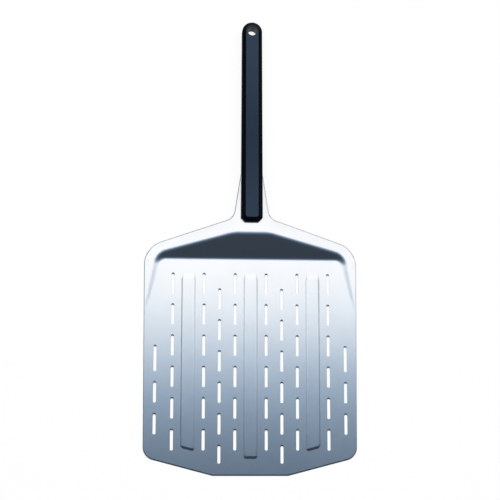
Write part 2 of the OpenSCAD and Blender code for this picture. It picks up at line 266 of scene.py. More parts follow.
def makeAluminium():
    material, tree, shader, vector = startMaterial("satinAluminium")
    grain = placeGroup(tree, grainGroup, vector,
                       Scale=aluminium["grainScale"], Stretch=aluminium["grainStretch"])
    marks = placeGroup(tree, marksGroup, vector,
                       Angle=aluminium["scratchAngle"], Density=aluminium["scratchDensity"])
    wear = placeGroup(tree, wearGroup, vector, Edge=readMask(tree, "edge"), Amount=aluminium["edgeWear"])
    cloud = mapRange(tree, grain["Broad"], *aluminium["cloudRange"], toHigh=aluminium["cloudShare"])
    colour = mixColour(tree, cloud, aluminium["colour"], aluminium["cloudy"])
    colour = mixColour(tree, wear["Mask"], colour, aluminium["edge"])
    tree.links.new(colour, shader.inputs["Base Color"])
    rough = grainRough(tree, grain, aluminium["roughness"])
    for mark in ("Smudge", "Scratch"):
        added = mathNode(tree, "MULTIPLY", marks[mark], aluminium[mark.lower() + "Rough"])
        rough = mathNode(tree, "ADD", rough, added)
    tree.links.new(rough, shader.inputs["Roughness"])
    shader.inputs["Metallic"].default_value = 1.0
    scratched = mathNode(tree, "MULTIPLY", marks["Scratch"], aluminium["scratchDepth"])
    height = mathNode(tree, "SUBTRACT", grain["Fine"], scratched)
    addBump(tree, shader, height, aluminium["bump"], aluminium["bumpDepth"])
    return material


# moulded handle plastic: near black with a navy cast and a fine spark texture
plastic = {
    "colour": (0.0010, 0.0016, 0.0028),
    "pale": (0.0020, 0.0030, 0.0046),
    "paleRange": (0.3, 0.75),
    "rubbed": (0.008, 0.010, 0.014),
    "edgeWear": 0.3,
    "smudgeRough": 0.03,
    "scratchAngle": 1.2,
    "scratchDensity": 0.35,
    "scratchDepth": 0.4,
    "grainScale": 2200.0,
    "grainStretch": (1.0, 1.0, 1.0),
    "bump": 0.12,
    "bumpDepth": 0.00003,
    "finishes": {
        "satinPlastic": {"roughness": (0.16, 0.21), "gloss": 0.87, "tint": (0.34, 0.57, 1.0)},
        "mattPlastic": {"roughness": (0.30, 0.38), "gloss": 0.05, "tint": (0.60, 0.75, 1.0)},
    },
}


def makePlastic(name):
    finish = plastic["finishes"][name]
    material, tree, shader, vector = startMaterial(name)
    grain = placeGroup(tree, grainGroup, vector,
                       Scale=plastic["grainScale"], Stretch=plastic["grainStretch"])
    marks = placeGroup(tree, marksGroup, vector,
                       Angle=plastic["scratchAngle"], Density=plastic["scratchDensity"])
    wear = placeGroup(tree, wearGroup, vector, Edge=readMask(tree, "edge"), Amount=plastic["edgeWear"])
    cloud = mapRange(tree, grain["Broad"], *plastic["paleRange"])
    colour = mixColour(tree, cloud, plastic["colour"], plastic["pale"])
    colour = mixColour(tree, wear["Mask"], colour, plastic["rubbed"])
    tree.links.new(colour, shader.inputs["Base Color"])
    smudged = mathNode(tree, "MULTIPLY", marks["Smudge"], plastic["smudgeRough"])
    rough = mathNode(tree, "ADD", grainRough(tree, grain, finish["roughness"]), smudged)
    tree.links.new(rough, shader.inputs["Roughness"])
    shader.inputs["Specular IOR Level"].default_value = finish["gloss"]
    shader.inputs["Specular Tint"].default_value = finish["tint"] + (1.0,)
    scratched = mathNode(tree, "MULTIPLY", marks["Scratch"], plastic["scratchDepth"])
    height = mathNode(tree, "SUBTRACT", grain["Fine"], scratched)
    addBump(tree, shader, height, plastic["bump"], plastic["bumpDepth"])
    return material


# turned metal for the screws and the inserts
turnedMetals = {
    "screwSteel": {"colour": (0.58, 0.59, 0.61), "dull": (0.40, 0.41, 0.43), "roughness": (0.24, 0.38)},
    "insertBrass": {"colour": (0.72, 0.52, 0.22), "dull": (0.50, 0.33, 0.13), "roughness": (0.26, 0.42)},
}
turning = {
    "grainScale": 2600.0,
    "grainStretch": (0.25, 0.25, 3.0),
    "wear": 0.6,
    "wearRange": (0.3, 0.7),
    "wearEnds": (0.4, 1.0),
    "bump": 0.15,
    "bumpDepth": 0.00004,
}


def makeTurnedMetal(name):
    values = turnedMetals[name]
    material, tree, shader, vector = startMaterial(name)
    grain = placeGroup(tree, grainGroup, vector,
                       Scale=turning["grainScale"], Stretch=turning["grainStretch"])
    handled = mapRange(tree, grain["Broad"], *turning["wearRange"], *turning["wearEnds"])
    wear = placeGroup(tree, wearGroup, vector, Edge=handled, Amount=turning["wear"])
    colour = mixColour(tree, wear["Mask"], values["colour"], values["dull"])
    tree.links.new(colour, shader.inputs["Base Color"])
    tree.links.new(grainRough(tree, grain, values["roughness"]), shader.inputs["Roughness"])
    shader.inputs["Metallic"].default_value = 1.0
    addBump(tree, shader, grain["Fine"], turning["bump"], turning["bumpDepth"])
    return material


satinAluminium = makeAluminium()
satinPlastic, mattPlastic = makePlastic("satinPlastic"), makePlastic("mattPlastic")
screwSteel, insertBrass = makeTurnedMetal("screwSteel"), makeTurnedMetal("insertBrass")
print("materials made")


# mesh helpers
def roundCorner(bm, vert, radius, segments, reach=None):
    first, second = (e.other_vert(vert).co - vert.co for e in vert.link_edges)
    turn = math.pi - first.angle(second)
    bmesh.ops.bevel(bm, geom=[vert], offset=reach or radius * math.tan(turn / 2), offset_type="OFFSET",
                    segments=segments, profile=0.5, affect="VERTICES", material=-1, clamp_overlap=False)


def insetFace(bm, face, thickness):
    ring = bmesh.ops.inset_region(bm, faces=[face], thickness=thickness, use_boundary=True,
                                  use_even_offset=True)
    inner = set(face.verts)
    return {v for f in ring["faces"] for v in f.verts if v not in inner}


def toMetres(bm):
    bmesh.ops.scale(bm, vec=(mm, mm, mm), verts=bm.verts[:])


def addedVerts(made):
    return [g for g in made["geom"] if isinstance(g, bmesh.types.BMVert)]


def spinProfile(bm, profile, y, steps):
    verts = [bm.verts.new((x, y, z)) for x, z in profile]
    edges = [bm.edges.new(pair) for pair in zip(verts, verts[1:])]
    bmesh.ops.spin(bm, geom=verts + edges, cent=(0, y, 0), axis=(0, 0, 1), angle=fullTurn, steps=steps,
                   use_merge=True)
    bmesh.ops.remove_doubles(bm, verts=bm.verts[:], dist=1e-4)


def faceOut(bm):
    bm.normal_update()
    bmesh.ops.recalc_face_normals(bm, faces=bm.faces[:])
    if bm.calc_volume(signed=True) < 0:
        bmesh.ops.reverse_faces(bm, faces=bm.faces[:])


def cutLines(bm, faces, point, normal):
    edges = {e for f in faces for e in f.edges}
    verts = {v for f in faces for v in f.verts}
    bmesh.ops.bisect_plane(bm, geom=list(verts) + list(edges) + list(faces), dist=1e-7,
                           plane_co=point, plane_no=normal)


def finishPiece(name, bm, materials, node, sharpAngle=30.0):
    for e in bm.edges:
        e.smooth = len(e.link_faces) == 2 and e.calc_face_angle(0.0) < math.radians(sharpAngle)
    for f in bm.faces:
        f.smooth = True
    mesh = bpy.data.meshes.new(name)
    bm.to_mesh(mesh)
    bm.free()
    for material in materials:
        mesh.materials.append(material)
    piece = bpy.data.objects.new(name, mesh)
    scene.collection.objects.link(piece)
    normals = piece.modifiers.new("evenNormals", "WEIGHTED_NORMAL")
    normals.keep_sharp = True
    normals.weight = 100
    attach(piece, "root")
    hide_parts(node)
    print("piece", name, len(mesh.polygons), "faces")


# the blade: one pressed sheet, drawn flat, then lifted to its pressed heights
blade = {
    "width": 307.0, "sideDraw": 2.0, "floorLength": 310.0, "sheet": 2.0,
    "frontFlat": 107.0, "frontRake": 14.6, "frontCornerRadius": 18.0, "frontBendRadius": 12.0,
    "bevelWidth": 2.0, "edgeThickness": 0.8,
    "wallAngle": 31.0, "footRadius": 13.0, "neckRise": 19.0, "crestHalf": 26.0, "crestSoft": 3.2,
    "rimFrom": 0.4, "rimSoft": 1.2, "cornerRise": 3.5, "cornerInset": 27.0,
    "wingWidth": 21.0, "wingLength": 120.0, "wingRunOut": 1.0,
    "floorCornerRadius": 13.0, "shoulderBack": 14.5, "shoulderAngle": 17.8, "backCornerRadius": 33.0,
    "neckFilletRadius": 15.0, "neckShow": 17.4, "neckExit": 74.0, "exitHalf": 15.338, "flankAngle": 9.0,
    "exitRadius": 2.4, "tangHalf": 9.5, "tangLength": 128.0, "tangBendRadius": 1.0, "tangEndRadius": 5.0,
    "screwHoles": (54.861, 145.861), "screwHoleRadius": 2.25,
    "rolledEdge": (0.7, 0.5, 0.4), "rolledDrop": (0.07, 0.30, 0.85), "sharpAngle": 12.0,
}
slots = {
    "width": 4.2, "length": 28.0, "columnPitch": 22.3, "rowPitch": 44.4, "rowStart": 35.5,
    "frontTrim": 4.0, "outerInset": 17.5, "outerExtra": 7.0, "rows": 6, "outerRows": (1, 2, 3),
    "rearColumns": (1, 3, 5), "frontColumn": 2, "segments": 20,
    "deburr": 0.15, "deburrDrop": 0.06, "lip": 2.0, "lipDrop": 0.5,
}
ribs = {
    "columns": (-4, 0, 4), "halfWidth": 10.0, "height": 1.4, "sideAngle": 30.0, "tailAngle": 10.0,
    "setback": 27.0, "middleAhead": 3.3, "tailGap": 23.5, "soft": 0.9, "tailSoft": 0.03, "cornerRadius": 5.0,
}

halfLength = 328.16
frontY = -halfLength
footY = frontY + blade["floorLength"]
wallTan = math.tan(math.radians(blade["wallAngle"]))
crestY = footY + blade["neckRise"] / wallTan
handleY = crestY + blade["neckShow"]
exitY = handleY + blade["neckExit"]
halfWidth = blade["width"] / 2
backCorner = Vector((halfWidth, footY + blade["shoulderBack"]))
sideLean = math.atan2(blade["sideDraw"], blade["floorLength"] + blade["shoulderBack"])
frontLean = math.radians(blade["frontRake"])


def meetPoint(a, aDirection, b, bDirection):
    cross = aDirection.x * bDirection.y - aDirection.y * bDirection.x
    gap = b - a
    return a + aDirection * ((gap.x * bDirection.y - gap.y * bDirection.x) / cross)


def direction(angle):
    return Vector((math.cos(angle), math.sin(angle)))


def bladeHalf(y):
    return halfWidth - math.tan(sideLean) * (backCorner.y - y)


def flankHalf(y):
    return blade["exitHalf"] + math.tan(math.radians(blade["flankAngle"])) * (exitY - y)


frontBend = Vector((blade["frontFlat"] / 2, frontY))
frontCorner = meetPoint(frontBend, direction(frontLean), backCorner, direction(math.pi / 2 - sideLean))
shoulderWay = direction(math.pi - math.radians(blade["shoulderAngle"]))
flankWay = direction(math.pi / 2 + math.radians(blade["flankAngle"]))
neckCorner = meetPoint(backCorner, shoulderWay, Vector((blade["exitHalf"], exitY)), flankWay)
tangEnd = handleY + blade["tangLength"]

# where the wall meets the floor: straight at the back, leaning along the wings, round between
footTangent = blade["footRadius"] * math.tan(math.radians(blade["wallAngle"] / 2))
wingTip = Vector((bladeHalf(footY - blade["wingLength"]), footY - blade["wingLength"]))
creaseBack = Vector((halfWidth - blade["wingWidth"], footY))
creaseEnd = wingTip.x + footTangent + blade["wingRunOut"]
creaseLean = math.atan2(creaseEnd - creaseBack.x, blade["wingLength"])
floorRadius = blade["floorCornerRadius"]
floorCorner = creaseBack - floorRadius * Vector(((1 - math.sin(creaseLean)) / math.cos(creaseLean), 1))
crestCorner = Vector((blade["crestHalf"], crestY, blade["neckRise"]))
cornerRise = blade["cornerRise"]
rimCorner = Vector((halfWidth - blade["cornerInset"], footY + cornerRise / wallTan, cornerRise))
rimNormal = (rimCorner - crestCorner).cross(wingTip.to_3d() - crestCorner).normalized()
rimSlope = Vector((-rimNormal.x / rimNormal.z, -rimNormal.y / rimNormal.z))
rimEdge = (rimCorner - crestCorner).to_2d().normalized()


def softMin(a, b, width):
    near = max(width - abs(a - b), 0.0) / width
    return min(a, b) - near * near * width / 4


def pastFoot(x, y):
    away = Vector((x, y)) - floorCorner
    turn = math.atan2(away.y, away.x)
    if away.y > 0 and creaseLean < turn < math.pi / 2:
        return away.length - floorRadius
    return max(away.y, away.dot(direction(creaseLean))) - floorRadius


def wallRise(past):
    radius, start = blade["footRadius"], past + footTangent
    if start <= 0:
        return 0.0
    if start < radius * math.sin(math.radians(blade["wallAngle"])):
        return radius - math.sqrt(radius ** 2 - start ** 2)
    return past * wallTan


def pressedRise(x, y):
    top = blade["neckRise"]
    if x > blade["rimFrom"] * blade["crestHalf"]:  # the rim planes start well inside the crest's corners
        rim = top + rimSlope.dot(Vector((x, y)) - crestCorner.to_2d())
        top = softMin(top, rim, blade["rimSoft"])
    return max(0.0, softMin(wallRise(pastFoot(x, y)), top, blade["crestSoft"]))


def frontLine(x):
    return frontY + max(0.0, (x - frontBend.x) * math.tan(frontLean))


def ribRise(x, y, centre):
    across = abs(x - centre)
    steep, slow = math.tan(math.radians(ribs["sideAngle"])), math.tan(math.radians(ribs["tailAngle"]))
    front = (y - ribFront(centre, x)) * math.cos(frontLean if centre else 0.0)
    side = ribs["halfWidth"] - across
    corner = ribs["cornerRadius"]
    if side < corner and front < corner:
        inside = corner - math.hypot(corner - side, corner - front)
    else:
        inside = min(side, front)
    tail = (footY - ribs["tailGap"] - y) * slow
    fade = min(1.0, max(0.0, tail / ribs["height"]))  # the sides flatten out along the tail
    rise = softMin(inside * steep * fade, ribs["height"], ribs["soft"])
    return max(0.0, softMin(rise, tail, ribs["tailSoft"]))


def ribFront(centre, x):
    if not centre:
        return frontY + ribs["setback"] - ribs["middleAhead"]
    return frontLine(abs(centre)) + ribs["setback"] + math.tan(frontLean) * (abs(x) - abs(centre))


def sheetRise(x, y):
    rise = pressedRise(abs(x), y)
    for column in ribs["columns"]:
        centre = column * slots["columnPitch"]
        if abs(x - centre) < ribs["halfWidth"] + 1 and y < footY:
            rise = max(rise, ribRise(x, y, centre))
    return rise


def sheetSlope(x, y, step=0.05):
    along = (sheetRise(x + step, y) - sheetRise(x - step, y)) / (2 * step)
    back = (sheetRise(x, y + step) - sheetRise(x, y - step)) / (2 * step)
    return math.sqrt(1 + along * along + back * back)


def slotPlaces():
    places = []
    for row in range(slots["rows"]):
        rear = frontY + slots["rowStart"] + row * slots["rowPitch"]
        front = rear - slots["rowPitch"] / 2
        length = slots["length"]
        for side in (-1, 1):
            column = side * slots["columnPitch"]
            places += [(c * column, rear, length) for c in slots["rearColumns"]]
            trim = slots["frontTrim"] if row == 0 else 0.0
            places.append((slots["frontColumn"] * column, front + trim, length - trim))
            if row in slots["outerRows"]:
                extra = slots["outerExtra"] if row == slots["outerRows"][-1] else 0.0
                places.append((side * (halfWidth - slots["outerInset"]), front, length + extra))
    return places


def drawOutline(bm, dropLayer, edgeLayer):
    flankTang = Vector((blade["tangHalf"], exitY + (blade["exitHalf"] - blade["tangHalf"])))
    right = [  # corner, radius, segments
        (frontBend, blade["frontBendRadius"], 4), (frontCorner, blade["frontCornerRadius"], 14),
        (backCorner, blade["backCornerRadius"], 22), (neckCorner, blade["neckFilletRadius"], 8),
        (Vector((blade["exitHalf"], exitY)), blade["exitRadius"], 3), (flankTang, blade["tangBendRadius"], 2),
        (Vector((blade["tangHalf"], tangEnd)), blade["tangEndRadius"], 6),
    ]
    corners = right + [(Vector((-p.x, p.y)), r, n) for p, r, n in reversed(right)]
    verts = [bm.verts.new((p.x, p.y, 0)) for p, r, n in corners]
    bm.faces.new(verts)
    for vert, (p, r, n) in zip(verts, corners):
        roundCorner(bm, vert, r, n)
    face = bm.faces[:][0]
    for inset, drop in zip(blade["rolledEdge"], reversed(blade["rolledDrop"])):
        for v in insetFace(bm, face, inset):
            v[dropLayer] = drop
            v[edgeLayer] = 1.0
    for v in face.verts:
        v[dropLayer] = 0.0
        v[edgeLayer] = 0.0
    edges = list(face.edges)
    bmesh.ops.delete(bm, geom=[face], context="FACES_ONLY")
    return edges


def drawLoop(bm, x, y, length, radius, dropLayer):
    turn = math.pi / slots["segments"]
    wide = (radius + slots["deburr"]) / math.cos(turn)
    place = Matrix.Translation((x, y, 0)) @ Matrix.Rotation(turn, 4, "Z")
    made = bmesh.ops.create_circle(bm, cap_ends=True, segments=slots["segments"], radius=wide, matrix=place)
    verts = made["verts"]
    if length > 0:
        bmesh.ops.translate(bm, verts=[v for v in verts if v.co.y > y], vec=(0, length, 0))
    face = verts[0].link_faces[0]
    outer = insetFace(bm, face, slots["deburr"])
    bmesh.ops.translate(bm, verts=[v for v in outer if v.co.y > y + length], vec=(0, slots["lip"], 0))
    for v in face.verts:
        v[dropLayer] = slots["deburrDrop"] + slots["lipDrop"] * max(0.0, v.co.y - y - length) / radius
    bmesh.ops.delete(bm, geom=[face], context="FACES_ONLY")
    return list({e for v in outer for e in v.link_edges if e.other_vert(v) in outer})


def facesWhere(bm, test):
    return [f for f in bm.faces if test(f.calc_center_median())]


# where the flat drawing is cut, so that each bend has lines of its own to follow
cuts = {
    "ribBorder": 6.0, "ribReach": 12.0, "ribStop": 4.0, "ribParts": 6, "ribSteps": range(-1, 11),
    "tailShares": (-0.02, 0.0, 0.02, 0.3, 0.6, 0.9, 0.98, 1.0, 1.02, 1.1),
    "borderReach": 45.0, "footStep": 0.837, "footCount": 9, "footLast": 3.9, "footReach": 60.0,
    "crest": (-5.4, -4.2, -3.0, -1.9, -0.95, 0.0, 0.95, 1.9, 3.0, 4.2, 5.4), "crestReach": 34.0,
    "rimStart": 18.0, "rimReach": 12.0, "rollZone": (8.0, 50.0), "rollReach": 6.0, "rollSpread": 4,
    "fan": 10, "rings": (4.2, 5.2, 6.2, 7.2, 8.2, 9.4, 10.6, 12.0),
    "wingStart": 60.0, "wingReach": 30.0, "wingStep": 9.5, "wingCount": 12,
    "weld": 0.02, "sliver": 0.01,
}
footSteps = [-footTangent + k * cuts["footStep"] for k in range(cuts["footCount"])] + [cuts["footLast"]]
alongX, alongY = (1, 0, 0), (0, 1, 0)


def cutWhere(bm, test, point, normal):
    cutLines(bm, facesWhere(bm, test), point, normal)


def leanIn(lean):
    return Vector((-math.sin(lean), math.cos(lean), 0))


def cutFront(bm):
    for side, lean in ((0, 0.0), (1, frontLean), (-1, -frontLean)):
        inward = leanIn(lean)
        edge = Vector((side * frontBend.x, frontY, 0))
        cutLines(bm, bm.faces[:], edge + inward * blade["bevelWidth"], inward)
    cutLines(bm, bm.faces[:], (0, footY - cuts["ribBorder"], 0), alongY)  # border between ribs and back


def cutRibs(bm):
    run = ribs["height"] / math.tan(math.radians(ribs["sideAngle"]))
    tail = ribs["height"] / math.tan(math.radians(ribs["tailAngle"]))
    steps = [run * k / cuts["ribParts"] for k in cuts["ribSteps"]]
    stop = footY - cuts["ribStop"]
    for column in ribs["columns"]:
        centre = column * slots["columnPitch"]
        strip = lambda c: abs(c.x - centre) < ribs["halfWidth"] + cuts["ribReach"] and c.y < stop
        inner = lambda c: abs(c.x - centre) < ribs["halfWidth"] - steps[0] and c.y < stop
        for step in steps:
            for side in (-1, 1):
                cutWhere(bm, strip, (centre + side * (ribs["halfWidth"] - step), 0, 0), alongX)
        inward = leanIn(math.copysign(frontLean, column) if column else 0.0)
        for step in steps:
            cutWhere(bm, inner, Vector((centre, ribFront(centre, centre), 0)) + inward * step, inward)
        for share in cuts["tailShares"]:
            cutWhere(bm, inner, (0, footY - ribs["tailGap"] - tail * share, 0), alongY)


def cutBack(bm):
    # borders of the fields first, then the lines inside each one
    rollStart, rollEnd = cuts["rollZone"]
    for x in (rollStart, cuts["rimStart"], cuts["crestReach"], rollEnd, floorCorner.x):
        for side in (-1, 1):
            cutWhere(bm, lambda c: c.y > floorCorner.y - cuts["borderReach"], (side * x, 0, 0), alongX)
    for side in (-1, 1):
        cutWhere(bm, lambda c: side * c.x > floorCorner.x, (0, floorCorner.y, 0), alongY)
    for step in footSteps:
        middle = lambda c: abs(c.x) < floorCorner.x and c.y > footY - cuts["footReach"]
        cutWhere(bm, middle, (0, footY + step, 0), alongY)
    for step in cuts["crest"]:
        level = lambda c: abs(c.x) < cuts["crestReach"] and c.y > footY
        cutWhere(bm, level, (0, crestY + step, 0), alongY)
        for side in (-1, 1):
            corner = Vector((side * crestCorner.x, crestCorner.y, 0))
            away = Vector((-rimEdge.y, side * rimEdge.x, 0)) * side
            rim = lambda c: cuts["rimStart"] < side * c.x < floorCorner.x and c.y > footY - cuts["rimReach"]
            cutWhere(bm, rim, corner + away * step, away)
            roll = Vector((side * rimSlope.x, rimSlope.y, 0)).normalized()
            nearRoll = lambda c: rollStart < side * c.x < rollEnd and c.y > crestY - cuts["rollReach"]
            cutWhere(bm, nearRoll, corner + roll * step * cuts["rollSpread"], roll)


def cutCorners(bm):
    # fan lines first, then short chords; the wings follow the crease
    angles = [creaseLean + (math.pi / 2 - creaseLean) * k / cuts["fan"] for k in range(cuts["fan"] + 1)]
    ringSteps = [*footSteps, *cuts["rings"]]
    for side in (-1, 1):
        centre = Vector((side * floorCorner.x, floorCorner.y, 0))
        quarter = lambda c: side * c.x > floorCorner.x and c.y > floorCorner.y
        for angle in angles[:-1]:
            cutWhere(bm, quarter, centre, Vector((-side * math.sin(angle), math.cos(angle), 0)))
        for low, high in zip(angles, angles[1:]):
            middle = (low + high) / 2
            away = Vector((side * math.cos(middle), math.sin(middle), 0))
            chord = math.cos((high - low) / 2)
            wedge = lambda c: quarter(c) and low < math.atan2(c.y - centre.y, side * (c.x - centre.x)) < high
            for step in ringSteps:
                cutWhere(bm, wedge, centre + away * (floorRadius + step) * chord, away)
        away = Vector((side * math.cos(creaseLean), math.sin(creaseLean), 0))
        across = Vector((-side * math.sin(creaseLean), math.cos(creaseLean), 0))
        wingFront = wingTip.y - cuts["wingReach"]
        wing = lambda c: side * c.x > cuts["wingStart"] and wingFront < c.y and (c - centre).dot(across) < 0
        for step in ringSteps:
            cutWhere(bm, wing, centre + away * (floorRadius + step), away)
        outer = lambda c: wing(c) and (c - centre).dot(away) > floorRadius - footTangent
        for k in range(cuts["wingCount"]):
            cutWhere(bm, outer, (0, floorCorner.y - k * cuts["wingStep"], 0), alongY)


def makeBlade():
    bm = bmesh.new()
    dropLayer = bm.verts.layers.float.new("drop")
    edgeLayer = bm.verts.layers.float.new("edge")
    loops = drawOutline(bm, dropLayer, edgeLayer)
    radius = slots["width"] / 2
    for x, y, length in slotPlaces():
        loops += drawLoop(bm, x, y + radius, length - slots["width"], radius, dropLayer)
    for y in blade["screwHoles"]:
        loops += drawLoop(bm, 0, y, 0, blade["screwHoleRadius"], dropLayer)
    bmesh.ops.triangle_fill(bm, use_beauty=True, use_dissolve=False, edges=loops, normal=(0, 0, 1))
    for cut in (cutFront, cutRibs, cutBack, cutCorners):
        cut(bm)
    bmesh.ops.remove_doubles(bm, verts=bm.verts[:], dist=cuts["weld"])
    bmesh.ops.dissolve_degenerate(bm, dist=cuts["sliver"], edges=bm.edges[:])
    # lift: a copy is the top, the drawing itself becomes the underside
    top = set(addedVerts(bmesh.ops.extrude_face_region(bm, geom=bm.faces[:], use_keep_orig=True)))
    slopeBevel = (blade["sheet"] - blade["edgeThickness"]) / blade["bevelWidth"]
    for v in bm.verts:
        x, y = v.co.x, v.co.y
        rise = blade["sheet"] + sheetRise(x, y)
        if v in top:
            raked = (y - frontY - (abs(x) - frontBend.x) * math.tan(frontLean)) * math.cos(frontLean)
            inside = max(0.0, min(y - frontY, raked))
            v.co.z = min(rise - v[dropLayer], blade["edgeThickness"] + slopeBevel * inside)
        else:
            v.co.z = max(0.0, rise - blade["sheet"] * sheetSlope(x, y))
    toMetres(bm)
    faceOut(bm)
    finishPiece("pressedBlade", bm, [satinAluminium], "blade", blade["sharpAngle"])


makeBlade()


# handle: two moulded shells that close round the tang
handle = {
    "halfWidth": 15.6, "endHalf": 14.6, "faceHalf": 9.4, "faceEndHalf": 9.2, "cornerCut": 5.8,
    "low": 8.5, "high": 31.5, "parting": 21.0, "chamferWidth": 5.8, "chamferAngle": 39.0,
    "endGap": 0.02, "endWeld": 0.06, "ridgeAngle": 0.3, "edgeRound": 0.7, "partingRound": 0.22,
    "hangRadius": 6.6, "hangFlare": 0.5, "flareBend": (0.3, 0.35), "flareOut": 1.4, "hangUnderFlare": 0.2,
    "coreHalf": 7.5, "coreWall": 3.0, "bossReach": 6.0, "tangClearance": 0.2,
    "pocketAhead": 2.0, "pocketSide": 4.0, "pocketBack": 8.0, "satinSlope": 0.97, "satinDepth": 0.05,
}
screws = {
    "places": {"neck": 54.861, "tang": 145.861, "grip": 214.701, "end": 283.541},
    "seat": 13.0, "radius": 2.0, "length": 13.0, "headRadius": 3.8, "headHeight": 2.4,
    "headFlat": 1.9, "headBend": (0.8, 0.3), "headBulge": (0.35, 0.55), "headRim": 0.8, "headRound": 0.15,
    "shankFillet": 0.2, "tipChamfer": 0.5, "hexRadius": 1.45, "hexDepth": 1.2,
    "leadOut": 0.25, "leadIn": 0.15, "leadGap": 0.01, "boreRadius": 4.3,
    "shankRadius": 2.25, "insertRadius": 3.0, "insertLength": 7.0,
}
past = 1.0  # how far a cutter reaches past the surface
hangY = halfLength - handle["endHalf"] - handle["endGap"]


def addCylinder(bm, x, y, low, high, radius, topRadius=None, segments=40):
    made = bmesh.ops.create_cone(bm, cap_ends=True, segments=segments, radius1=radius,
                                 radius2=radius if topRadius is None else topRadius, depth=high - low,
                                 matrix=Matrix.Translation((x, y, (low + high) / 2)))
    return made["verts"]


def addBlock(bm, low, high):
    size = Vector(high) - Vector(low)
    place = Matrix.Translation((Vector(low) + Vector(high)) / 2) @ Matrix.Diagonal((*size, 1))
    bmesh.ops.create_cube(bm, size=1.0, matrix=place)


def subtract(bm, cutters, weld=0.004):
    made = []
    for item in [bm] + cutters:
        mesh = bpy.data.meshes.new("work")
        faceOut(item)
        item.to_mesh(mesh)
        item.free()
        made.append(bpy.data.objects.new("work", mesh))
        scene.collection.objects.link(made[-1])
    for cutter in made[1:]:
        step = made[0].modifiers.new("cut", "BOOLEAN")
        step.operation, step.solver, step.object = "DIFFERENCE", "EXACT", cutter
    shaped = made[0].evaluated_get(bpy.context.evaluated_depsgraph_get())
    result = bmesh.new()
    result.from_mesh(shaped.to_mesh())
    for item in made:
        mesh = item.data
        bpy.data.objects.remove(item)
        bpy.data.meshes.remove(mesh)
    bmesh.ops.remove_doubles(result, verts=result.verts[:], dist=weld)
    bmesh.ops.dissolve_degenerate(result, dist=weld, edges=result.edges[:])
    return result


def offParting(edge):
    return max(abs(v.co.z - handle["parting"]) for v in edge.verts)


def shellBody(upper):
    bm = bmesh.new()
    edgeLayer = bm.faces.layers.float.new("edge")
    cut = handle["cornerCut"]
    right = [(handle["halfWidth"] - cut, handleY), (handle["halfWidth"], handleY + cut),
             (handle["endHalf"], halfLength)]
    corners = right + [(-x, y) for x, y in reversed(right)]
    verts = [bm.verts.new((x, y, handle["parting"])) for x, y in corners]
    bm.faces.new(verts)
    for vert in (verts[2], verts[3]):
        roundCorner(bm, vert, handle["endHalf"], 14, reach=handle["endHalf"] - handle["endGap"])
    bmesh.ops.remove_doubles(bm, verts=bm.verts[:], dist=handle["endWeld"])
    face = bm.faces[:][0]
    if (face.normal.z > 0) != upper:
        bmesh.ops.reverse_faces(bm, faces=[face])
    drop = handle["chamferWidth"] * math.tan(math.radians(handle["chamferAngle"]))
    outerZ = handle["high"] if upper else handle["low"]
    sideZ = outerZ - drop if upper else outerZ + drop
    made = bmesh.ops.extrude_face_region(bm, geom=[face], use_keep_orig=True)["geom"]
    outer = next(g for g in made if isinstance(g, bmesh.types.BMFace))
    bmesh.ops.translate(bm, verts=outer.verts[:], vec=(0, 0, sideZ - handle["parting"]))
    outer.normal_update()
    bmesh.ops.inset_region(bm, faces=[outer], thickness=handle["chamferWidth"], use_even_offset=True)
    for v in outer.verts:
        along = min(1.0, max(0.0, (v.co.y - handleY) / (hangY - handleY)))
        side = handle["halfWidth"] + (handle["endHalf"] - handle["halfWidth"]) * along
        wanted = handle["faceHalf"] + (handle["faceEndHalf"] - handle["faceHalf"]) * along
        v.co.x *= wanted / (side - handle["chamferWidth"])
        v.co.z = outerZ
    bmesh.ops.recalc_face_normals(bm, faces=bm.faces[:])
    onSeam, clearOfSeam = 0.01, 0.1
    ridges = [e for e in bm.edges
              if e.calc_face_angle(0.0) > handle["ridgeAngle"] and offParting(e) > clearOfSeam]
    rounded = bmesh.ops.bevel(bm, geom=ridges, offset=handle["edgeRound"], offset_type="OFFSET", segments=3,
                              profile=0.5, affect="EDGES", material=-1, clamp_overlap=True)["faces"]
    for f in rounded:
        f[edgeLayer] = 1.0
    seam = [e for e in bm.edges if offParting(e) < onSeam]
    bmesh.ops.bevel(bm, geom=seam, offset=handle["partingRound"], offset_type="OFFSET", segments=2,
                    profile=0.5, affect="EDGES", material=-1, clamp_overlap=True)
    return bm


def hangCutter():
    bm = bmesh.new()
    low, high = handle["low"], handle["high"]
    radius, flare, under = handle["hangRadius"], handle["hangFlare"], handle["hangUnderFlare"]
    bendOut, bendDown = handle["flareBend"]
    profile = [(0, low - past), (radius + under + past, low - past), (radius, low + under),
               (radius, high - flare), (radius + bendOut * flare, high - bendDown * flare),
               (radius + flare + handle["flareOut"], high + past), (0, high + past)]
    spinProfile(bm, profile, hangY, 56)
    return bm


def coreCutters(low, high):
    cutters = []
    half, reach = handle["coreHalf"], handle["bossReach"]
    stops = sorted(screws["places"].values())
    for start, end in zip(stops, stops[1:]):
        bm = bmesh.new()
        addBlock(bm, (-half, start + reach, low), (half, end - reach, high))
        cutters.append(bm)
    return cutters


def makeUpperShell():
    cutters = [hangCutter()]
    parting, high = handle["parting"], handle["high"]
    for y in screws["places"].values():
        bm = bmesh.new()
        addCylinder(bm, 0, y, parting - past, parting + screws["insertLength"], screws["insertRadius"])
        cutters.append(bm)
    cutters += coreCutters(parting - past, high - handle["coreWall"])
    bm = subtract(shellBody(True), cutters)
    bm.normal_update()
    for f in bm.faces:
        onFace = f.calc_center_median().z > high - handle["satinDepth"]
        f.material_index = int(f.normal.z > handle["satinSlope"] and onFace)
    toMetres(bm)
    plastics = [mattPlastic, satinPlastic]
    finishPiece("handleUpperShell", bm, plastics, "handle_upper_shell")


